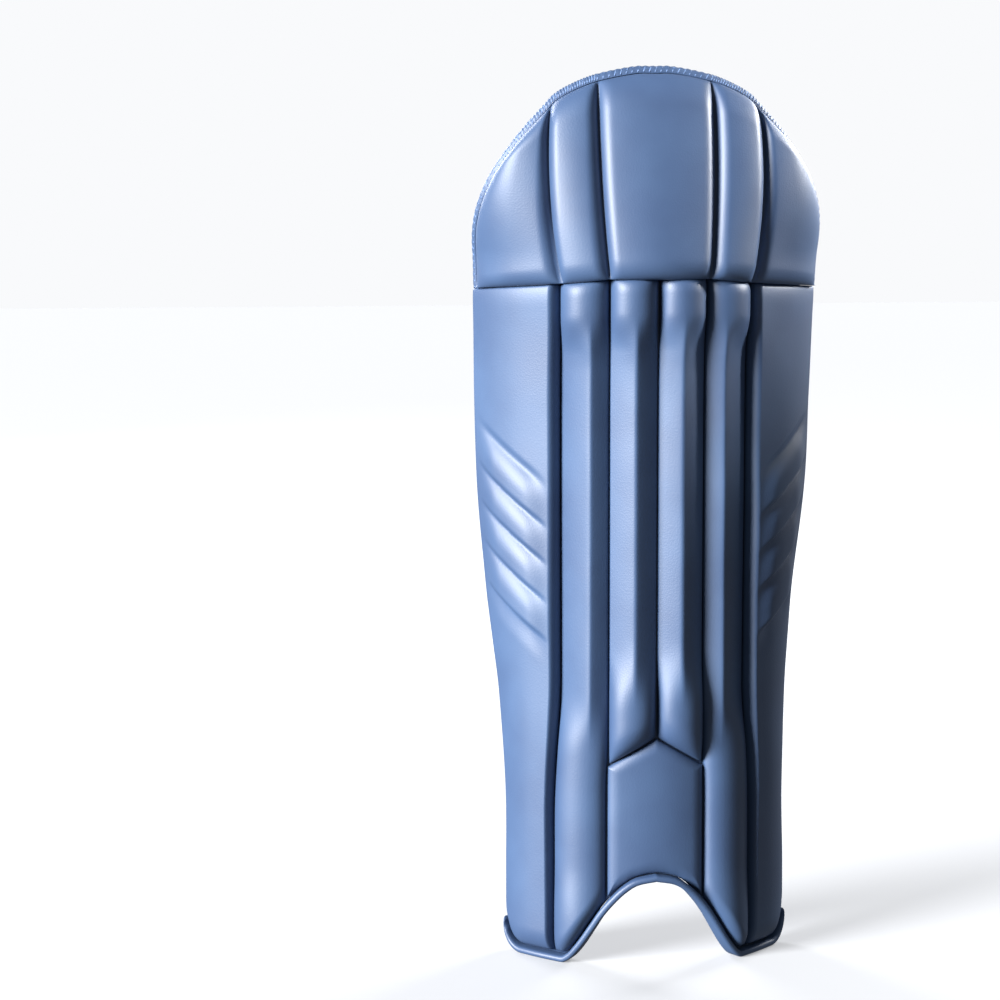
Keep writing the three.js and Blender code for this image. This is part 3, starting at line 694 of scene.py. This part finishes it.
def make_ankle_lining():
    crease_at = 4 * 0.54 / 7

    def locate(a, b):
        arc0 = a * edge_arc(a, 20)
        z = mix(hem_top(arc0) + HEM_CLEAR, ANKLE_TOP, b)
        return a * (edge_arc(a, z) - 0.6), z

    def inner(a, b, arc, z):
        puff = 2.2 * (1 - math.exp(-(abs(abs(a) - crease_at) / 0.05)))
        pull = 0.6 * drift(arc, z * 0.5, 12, 15) * math.exp(-abs(abs(a) - crease_at) / 0.08)
        return LINING_FACE - LINING - puff - pull - 0.7 * drift(arc, z, 30, 16)
    bm = quilt(steps(-1, 150, 1), steps(0, 70, 1), *on_shell(locate, lambda *_: LINING_FACE, inner))
    finish_piece("foot_lining", bm, [LOOKS["nylon"]], ["ankle_lining"])


def make_shin_bolster(sizes):
    rise = sizes.bolster_rise / MM

    def locate(a, b):
        return a * SHIN_BOLSTER_ARC, mix(BOLSTER_FOOT, 484, b)

    def inner(a, b, arc, z):
        ends = cap(min(z - BOLSTER_FOOT, 484 - z) + 1, 22)
        wrinkle = (0.8 * (0.6 + drift(arc, z, 12, 24)) * math.sin(arc * 0.9 + 3 * drift(arc, z, 18, 21))
                   * ease((z - 420) / 50) * quarter(a))
        soft = 0.8 * drift(arc, z, 24, 22) * quarter(a)
        return LINING_FACE - 3 - (rise - 3) * quarter(a) ** 0.7 * ends + (wrinkle + soft) * ends
    bm = quilt(steps(-1, 10, -0.85, 40, 0.85, 10, 1), steps(0, 14, 0.06, 130, 0.94, 14, 1),
               *on_shell(locate, lambda *_: LINING_FACE, inner))
    finish_piece("shin_cushion", bm, [LOOKS["gloss"]], ["shin_bolster"])


def bolster_edge(z):
    return mix(80, 107, ease((z - 170) / 230))


def make_calf_bolster(side, sizes):
    face_out, rise = LINING_FACE - LINING - 3 * GAP, sizes.bolster_rise / MM

    def locate(a, b):
        # the top meets the lower edge of the knee cup's lining
        top = cup_edge(mix(SHIN_BOLSTER_ARC + 2, 107, a)) - 2 * GAP
        z = mix(BOLSTER_FOOT, top, b)
        return side * mix(SHIN_BOLSTER_ARC + 2, bolster_edge(z), a), z

    def inner(a, b, arc, z):
        ends = cap(b * 310 + 1, 26) * cap((1 - b) * 310 + 2, 15)
        soft = 1.4 * drift(arc, z, 38, side + 31) + 0.6 * drift(arc, z * 2.2, 16, side + 33)
        return face_out - 2.5 - (rise - 2.5) * quarter(2 * a - 1) ** 0.7 * ends - soft * quarter(2 * a - 1) * ends
    bm = quilt(steps(0, 10, 0.07, 56, 0.93, 10, 1), steps(0, 14, 0.06, 130, 0.94, 14, 1),
               *on_shell(locate, lambda *_: face_out, inner))
    word = "left" if side < 0 else "right"
    finish_piece(f"calf_cushion_{word}", bm, [LOOKS["mesh"]], [f"calf_bolster_{word}"])


def strap_place(along, z, lift, bow):
    left, right = (place(side * edge_arc(side, z), z, -SKIN) for side in (-1, 1))
    t = (along + 1) / 2
    back = Vector((0, STRAP_REACH + bow * (1 - along * along) + lift, 0)) * MM
    flat = left.lerp(right, t) + back
    return Vector((flat.x, flat.y, z * MM))


def edge_reach(z):
    """Half the width between the rear edges, in millimetres."""
    return place(edge_arc(1, z), z).x / MM


def to_line(spot, line):
    """Distance from a spot to a line of straight stretches."""
    best = 1e9
    for a, b in zip(line, line[1:]):
        t = clamp((spot - a).dot(b - a) / (b - a).length_squared)
        best = min(best, (spot - a.lerp(b, t)).length)
    return best


def make_strap(word, sizes):
    foot, bow = STRAP_FEET[word], sizes.strap_bow / MM
    top, low = foot + STRAP_HEIGHT - 2, foot + 1
    level, tip = mix(low, top, 0.5), mix(low, top, 0.62)

    def notch(a):
        return mix(low, level, clamp((0.12 - a) / 0.16))

    def point(a, edge):
        return mix(edge, tip, clamp((a - 0.68) / 0.18) * 0.93)

    def strip(low_at, high_at, lift, thick, wave):
        def face(out):
            def at(a, b):
                z = mix(low_at(a), high_at(a), b)
                return strap_place(a, z, lift + out * thick / 2 + wave(a, z), bow)
            return at
        return face(1), face(-1), lambda a, b: (a * 0.1, mix(low_at(a), high_at(a), b) * MM)

    def ripple(a, z):
        return 0.8 * drift(a * 100, z, 40, foot) - 0.5 * math.exp(-((a - 0.14) * 100 / 1.5) ** 2)
    columns = steps(-1, 60, -0.04, 24, 0.12, 60, 0.68, 40, 0.86)
    bm = quilt(columns, steps(0, 40, 1),
               *strip(lambda a: point(a, notch(a)), lambda a: point(a, top), 0, STRAP_THICK, ripple))
    # Distance from the edged sides of the outline, laid flat, and from the sewn cross line
    reach = edge_reach(foot)
    outline = [(-1, top), (0.68, top), (0.86, point(0.86, top)), (0.86, point(0.86, low)), (0.68, low)]
    inner = [(0.12, low), (-0.04, level), (-1, level)]
    flat = [[Vector((a * reach, z)) for a, z in line] for line in (outline, inner)]
    rim, cross = bm.verts.layers.float.new("rim"), bm.verts.layers.float.new("cross")
    spot = bm.loops.layers.uv["cloth"]
    for vert in bm.verts:
        a, z = vert.link_loops[0][spot].uv.x * 10, vert.link_loops[0][spot].uv.y / MM
        vert[rim] = min(to_line(Vector((a * reach, z)), line) for line in flat)
        vert[cross] = abs(a - 0.14) * reach
    finish_piece(f"strap_tab_{word}", bm, [LOOKS["tab"]], [f"strap_{word}_tab"])
    bm = quilt(steps(-1, 60, -0.04, 16, 0.1), steps(0, 14, 1),
               *strip(lambda a: low, lambda a: notch(a) - GAP, -0.2, STRAP_THICK - 1, lambda a, z: ripple(a, z)))
    finish_piece(f"strap_inset_{word}", bm, [LOOKS["inset"]], [f"strap_{word}_mesh"])

    def route(z):
        edge = edge_arc(1, z)
        corner = strap_place(1, z, 0, bow)
        return [place(edge + 1.2, z, 2.6), place(edge + 2.0, z, 0.2),
                corner + Vector((1.6, -3.6, 0)) * MM,
                *[strap_place(mix(0.95, 0.35, k / 12), z, -2.9, bow) for k in range(13)]]

    def side(out):
        def at(k, b):
            line = route(mix(foot, foot + STRAP_HEIGHT, b))
            i = int(k)
            along = line[min(len(line) - 1, i + 1)] - line[max(0, i - 1)]
            along.z = 0
            along.normalize()
            return line[i] + Vector((along.y, -along.x, 0)) * (out * BAND_THICK / 2 * MM)
        return at
    bm = quilt([float(k) for k in range(16)], steps(0, 20, 1), side(1), side(-1))
    finish_piece(f"strap_loop_{word}", bm, [LOOKS["loop"]], [f"strap_{word}_band"])


def stitch_row(bm, points, facing, length, pitch, thick):
    """Short rounded stitches along a line, each pressed a little into the cloth."""
    walked, due = 0.0, pitch / 2
    for a, b in zip(points, points[1:]):
        step = (b - a).length
        while walked + step >= due:
            spot = a.lerp(b, (due - walked) / step)
            along = (b - a).normalized()
            up = facing(spot)
            across = along.cross(up).normalized()
            turn = Matrix((along, across, up)).transposed().to_4x4()
            size = Matrix.Diagonal((length / 2, thick / 2, thick / 2, 1))
            bmesh.ops.create_icosphere(bm, subdivisions=1, radius=1,
                                       matrix=Matrix.Translation(spot) @ turn @ size)
            due += pitch
        walked += step
    return bm


def make_stitches():
    """Visible stitching on the linings, and the overlock round the dome."""
    bm = bmesh.new()
    row = []
    for arc in steps(-104, 160, 104):
        z = cup_edge(arc) + 4
        row.append(place(arc, z, LINING_FACE - GAP - cup_depth(arc, z) - 1.2))
    stitch_row(bm, row, lambda p: Vector((0, 1, 0)), 5.5 * MM, 8.5 * MM, 1.1 * MM)
    for side in (-1, 1):
        for z in (ANKLE_TOP + 6, ANKLE_TOP + 9):
            row = [place(side * arc, z, LINING_FACE - LINING - 1.1) for arc in steps(84, 10, edge_arc(side, z) - 4)]
            stitch_row(bm, row, lambda p: Vector((0, 1, 0)), 3.5 * MM, 5 * MM, 0.9 * MM)
    finish_piece("lining_stitches", bm, [LOOKS["thread"]])
    bm = bmesh.new()
    path = rim_path(40)
    for (a0, b0), (a1, b1) in zip(path[::2], path[1::2]):
        arc0, z0 = dome_locate(BAND_WIDTH * 0.9)(a0, b0)
        arc1, z1 = dome_locate(BAND_WIDTH * 0.12)(a1, b1)
        start, end = place(arc0, z0, DOME_RIM + 1.3), place(arc1, z1, DOME_RIM - 0.4)
        stitch_row(bm, [start, end], lambda p: Vector((0, -1, 0)), (end - start).length * 1.05,
                   (end - start).length, 1.0 * MM)
    finish_piece("overlock_thread", bm, [LOOKS["shell_thread"]])


# ---------------------------------------------------------------- stage
def make_stage(sizes):
    bm = bmesh.new()
    bmesh.ops.create_grid(bm, x_segments=1, y_segments=1, size=6)
    mesh = bpy.data.meshes.new("floor")
    bm.to_mesh(mesh)
    bm.free()
    floor = bpy.data.objects.new("floor", mesh)
    bpy.context.collection.objects.link(floor)
    material, tree = new_material("glowing_pale_paper")
    # Painted light: the paper glows, less near the pad and more further out, which lightens the pad's shadow on it and
    # evens out the floor's brightness
    reach = add_node(tree, "ShaderNodeVectorMath",
                     [(0, add_node(tree, "ShaderNodeTexCoord").outputs["Object"])], operation="LENGTH")
    glow = add_node(tree, "ShaderNodeMapRange", [("Value", reach.outputs["Value"])],
                    in_From_Min=0.4, in_From_Max=2.4, in_To_Min=0.34, in_To_Max=0.56)
    surface(tree, colour("#a2a4a8"), 0.7, strength=glow.outputs[0], in_Emission_Color=colour("#f9fafc"))
    mesh.materials.append(material)
    # The white paper throws no light back on the pad, as a far one would
    floor.visible_diffuse = floor.visible_glossy = False

    # Camera height 584 mm, 95 mm lens, looking 8.49 degrees down, 5.5 degrees round the pad
    turn, right, ahead = math.radians(5.5), 106.3, 1745.0
    x = -right * math.cos(turn) - ahead * math.sin(turn)
    y = right * math.sin(turn) - ahead * math.cos(turn) + SHIFT
    data = bpy.data.cameras.new("camera")
    data.lens, data.sensor_width = 2641 * 36 / 1000, 36
    data.clip_start = 0.05
    camera = bpy.data.objects.new("camera", data)
    camera.location = (x * MM, y * MM, 0.584)
    camera.rotation_euler = (math.radians(90 - 8.49), 0, -turn)
    bpy.context.collection.objects.link(camera)
    bpy.context.scene.camera = camera

    world = bpy.data.worlds.new("studio")
    world.use_nodes = True
    tree = world.node_tree
    tree.nodes.clear()
    white = colour("#f9fafc")
    # A white backdrop that is itself brighter than the light that comes off it
    room = add_node(tree, "ShaderNodeBackground", in_Color=white, in_Strength=sizes.sky)
    backdrop = add_node(tree, "ShaderNodeBackground", in_Color=white, in_Strength=1.0)
    seen = add_node(tree, "ShaderNodeLightPath").outputs["Is Camera Ray"]
    both = add_node(tree, "ShaderNodeMixShader",
                    [(0, seen), (1, room.outputs[0]), (2, backdrop.outputs[0])])
    add_node(tree, "ShaderNodeOutputWorld", [("Surface", both.outputs[0])])
    bpy.context.scene.world = world
    bpy.context.scene.view_settings.view_transform = "Standard"
    middle, shoulder = Vector((0, 0, 0.33)), Vector((0.125, 0, 0.575))
    for name, kind, spot, aim, power, shape in (
            ("key", "SUN", (-1.97, -1.04, 0.98), middle, sizes.key, {"angle": math.radians(24)}),
            ("rim", "AREA", (1.45, 1.25, 1.1), middle, sizes.rim, {"size": 0.7}),
            ("top", "SPOT", (1.33, 0.08, 1.05), shoulder, sizes.top,
             {"shadow_soft_size": 0.12, "spot_size": math.radians(12), "spot_blend": 1.0}),
            ("rear", "AREA", (-1.3, 1.9, 1.3), middle, sizes.rear, {"size": 0.9})):
        lamp = bpy.data.lights.new(name, kind)
        lamp.energy = power
        for key, value in shape.items():
            setattr(lamp, key, value)
        light = bpy.data.objects.new(name, lamp)
        light.location = spot
        light.rotation_euler = (aim - Vector(spot)).to_track_quat("-Z", "Y").to_euler()
        bpy.context.collection.objects.link(light)


# ---------------------------------------------------------------- add-on
class PadSizes(bpy.types.PropertyGroup):
    dome_rise: FloatProperty(name="Dome padding", description="Depth of the dome's panels",
                             default=0.020, unit="LENGTH")
    roll_rise: FloatProperty(name="Roll height", description="Height of the shin rolls",
                             default=0.011, unit="LENGTH")
    wing_rise: FloatProperty(name="Wing padding", description="Depth of the side wings",
                             default=0.012, unit="LENGTH")
    rib_rise: FloatProperty(name="Rib height", description="Height of the wings' ribs",
                            default=0.0028, unit="LENGTH")
    bolster_rise: FloatProperty(name="Bolster padding", description="Depth of the rear bolsters",
                                default=0.018, unit="LENGTH")
    strap_bow: FloatProperty(name="Strap bow", description="How far the straps stand out at the middle",
                             default=0.030, unit="LENGTH")
    key: FloatProperty(name="Key light", description="Strength of the main light", default=11.6)
    rim: FloatProperty(name="Rim light", description="Power of the light on the right edge", default=38.0, unit="POWER")
    top: FloatProperty(name="Top light", description="Power of the spot on the dome's right side", default=320.0,
                       unit="POWER")
    rear: FloatProperty(name="Rear light", description="Power of the light on the back", default=50.0, unit="POWER")
    sky: FloatProperty(name="Sky", description="Light from the white surroundings", default=0.19)


class PadTints(bpy.types.PropertyGroup):
    shell: StringProperty(name="Shell", description="Colour of the coated leather", default="#3e5577")
    shell_shade: StringProperty(name="Shell shade", description="Its darker tone", default="#374b6c")
    nylon: StringProperty(name="Nylon", description="Colour of the nylon lining", default="#37355a")


class PAD_OT_shell(bpy.types.Operator):
    """Dome, rolls, wings, instep panel and the skin beneath them"""
    bl_idname, bl_label = "pad.shell", "Shell"

    def execute(self, context):
        sizes = context.scene.pad_sizes
        prepare_looks(context.scene.pad_tints)
        make_dome(sizes)
        make_roll("shin_roll_1", -1, True, -0.4, sizes)
        make_roll("shin_roll_2", -1, False, -0.1, sizes)
        make_roll("shin_roll_3", 1, False, -0.1, sizes)
        make_roll("shin_roll_4", 1, True, -0.4, sizes)
        make_wing(-1, sizes)
        make_wing(1, sizes)
        make_skin()
        make_instep()
        return {"FINISHED"}


class PAD_OT_edges(bpy.types.Operator):
    """Hem piping and the overlocked edge of the dome"""
    bl_idname, bl_label = "pad.edges", "Edges"

    def execute(self, context):
        make_hem()
        make_top_band()
        return {"FINISHED"}


class PAD_OT_lining(bpy.types.Operator):
    """Knee cup, side and foot linings, shin and calf cushions"""
    bl_idname, bl_label = "pad.lining", "Lining"

    def execute(self, context):
        sizes = context.scene.pad_sizes
        make_cup_lining()
        for side in (-1, 1):
            make_wing_lining(side)
            make_calf_bolster(side, sizes)
        make_ankle_lining()
        make_shin_bolster(sizes)
        return {"FINISHED"}


class PAD_OT_straps(bpy.types.Operator):
    """The two straps with their loop bands and mesh insets"""
    bl_idname, bl_label = "pad.straps", "Straps"

    def execute(self, context):
        for word in STRAP_FEET:
            make_strap(word, context.scene.pad_sizes)
        return {"FINISHED"}


class PAD_OT_stitches(bpy.types.Operator):
    """Visible stitching and the overlock thread"""
    bl_idname, bl_label = "pad.stitches", "Stitches"

    def execute(self, context):
        make_stitches()
        return {"FINISHED"}


class PAD_OT_stage(bpy.types.Operator):
    """Floor, lights and camera"""
    bl_idname, bl_label = "pad.stage", "Stage"

    def execute(self, context):
        make_stage(context.scene.pad_sizes)
        return {"FINISHED"}


class PAD_PT_panel(bpy.types.Panel):
    bl_idname, bl_label = "PAD_PT_panel", "Wicket Keeping Pad"
    bl_space_type, bl_region_type, bl_category = "VIEW_3D", "UI", "Pad"

    def draw(self, context):
        for group in (context.scene.pad_sizes, context.scene.pad_tints):
            for key in group.__annotations__:
                self.layout.prop(group, key)
        for operator in OPERATORS:
            self.layout.operator(operator.bl_idname)


OPERATORS = (PAD_OT_shell, PAD_OT_edges, PAD_OT_lining, PAD_OT_straps, PAD_OT_stitches, PAD_OT_stage)
CLASSES = (PadSizes, PadTints, *OPERATORS, PAD_PT_panel)


def register():
    for cls in CLASSES:
        bpy.utils.register_class(cls)
    bpy.types.Scene.pad_sizes = PointerProperty(type=PadSizes)
    bpy.types.Scene.pad_tints = PointerProperty(type=PadTints)


def unregister():
    del bpy.types.Scene.pad_sizes, bpy.types.Scene.pad_tints
    for cls in reversed(CLASSES):
        bpy.utils.unregister_class(cls)


def main():
    register()
    for step in (bpy.ops.pad.shell, bpy.ops.pad.edges, bpy.ops.pad.lining, bpy.ops.pad.straps,
                 bpy.ops.pad.stitches, bpy.ops.pad.stage):
        step()


if __name__ == "__main__":
    main()
